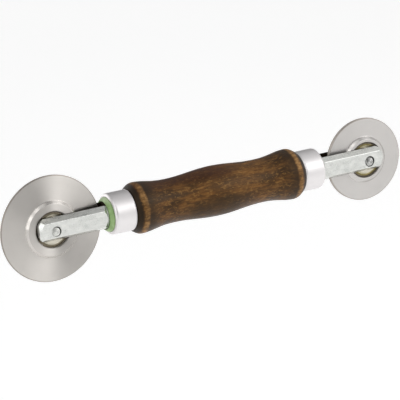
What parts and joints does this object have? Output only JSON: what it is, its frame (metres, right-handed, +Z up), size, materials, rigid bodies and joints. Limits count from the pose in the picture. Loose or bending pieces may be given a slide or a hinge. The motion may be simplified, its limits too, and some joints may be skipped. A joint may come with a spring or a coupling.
{
  "type": "double-ended roller hand tool",
  "caption": "Turned wooden grip with a ball-bearing steel wheel in a slotted hexagonal fork at each end: one thin-edged wheel, one smaller grooved wheel.",
  "frame": {"origin": "middle of the wooden grip, on its axis", "axes": "+X along the grip towards the grooved wheel, Y along both axles with the front of the tool at -Y, +Z up across the grip"},
  "size_m": [0.2154, 0.0246, 0.0508],
  "materials": {
    "stained_wood": "dark stain with mottled grain, semi-gloss lacquer, scorched at the ends",
    "ferrule_aluminium": "satin, turned",
    "zinc_steel": "bright zinc plating over cold-drawn bar",
    "turned_steel": "lathe-turned, fine circular marks",
    "bearing_steel": "ground and polished",
    "shield_brass": "satin, yellow, dulled by oil",
    "green_plastic": "moulded, slightly rough"
  },
  "bodies": {
    "grip": {"handle_grip": "stained_wood", "left_ferrule": "ferrule_aluminium", "left_bush": "green_plastic", "left_fork": "zinc_steel", "left_axle_pin": "bearing_steel", "left_inner_race": "bearing_steel", "left_front_washer": "zinc_steel", "left_rear_washer": "zinc_steel", "right_ferrule": "ferrule_aluminium", "right_bush": "green_plastic", "right_fork": "zinc_steel", "right_axle_pin": "bearing_steel", "right_inner_race": "bearing_steel", "right_front_washer": "zinc_steel", "right_rear_washer": "zinc_steel"},
    "left_roller": {"left_wheel": "turned_steel", "left_outer_race": "bearing_steel", "left_front_shield": "shield_brass", "left_rear_shield": "shield_brass"},
    "left_ball_set": {"left_ball_cage": "shield_brass", "left_ball_1": "bearing_steel", "left_ball_2": "bearing_steel", "left_ball_3": "bearing_steel", "left_ball_4": "bearing_steel", "left_ball_5": "bearing_steel", "left_ball_6": "bearing_steel", "left_ball_7": "bearing_steel"},
    "right_roller": {"right_wheel": "turned_steel", "right_outer_race": "bearing_steel", "right_front_shield": "shield_brass", "right_rear_shield": "shield_brass"},
    "right_ball_set": {"right_ball_cage": "shield_brass", "right_ball_1": "bearing_steel", "right_ball_2": "bearing_steel", "right_ball_3": "bearing_steel", "right_ball_4": "bearing_steel", "right_ball_5": "bearing_steel", "right_ball_6": "bearing_steel", "right_ball_7": "bearing_steel"}
  },
  "joints": [
    {"name": "left_wheel_spin", "type": "hinge", "parent": "grip", "child": "left_roller", "pos_m": [-0.086, 0, -0.0007], "axis": [0, 1, 0], "continuous": true},
    {"name": "left_cage_spin", "type": "hinge", "parent": "grip", "child": "left_ball_set", "pos_m": [-0.086, 0, -0.0007], "axis": [0, 1, 0], "continuous": true},
    {"name": "right_wheel_spin", "type": "hinge", "parent": "grip", "child": "right_roller", "pos_m": [0.0836, 0, -0.0007], "axis": [0, 1, 0], "continuous": true},
    {"name": "right_cage_spin", "type": "hinge", "parent": "grip", "child": "right_ball_set", "pos_m": [0.0836, 0, -0.0007], "axis": [0, 1, 0], "continuous": true}
  ],
  "couplings": [
    {"joint": "left_cage_spin", "follows": "left_wheel_spin", "ratio": 0.613},
    {"joint": "right_cage_spin", "follows": "right_wheel_spin", "ratio": 0.613}
  ]
}
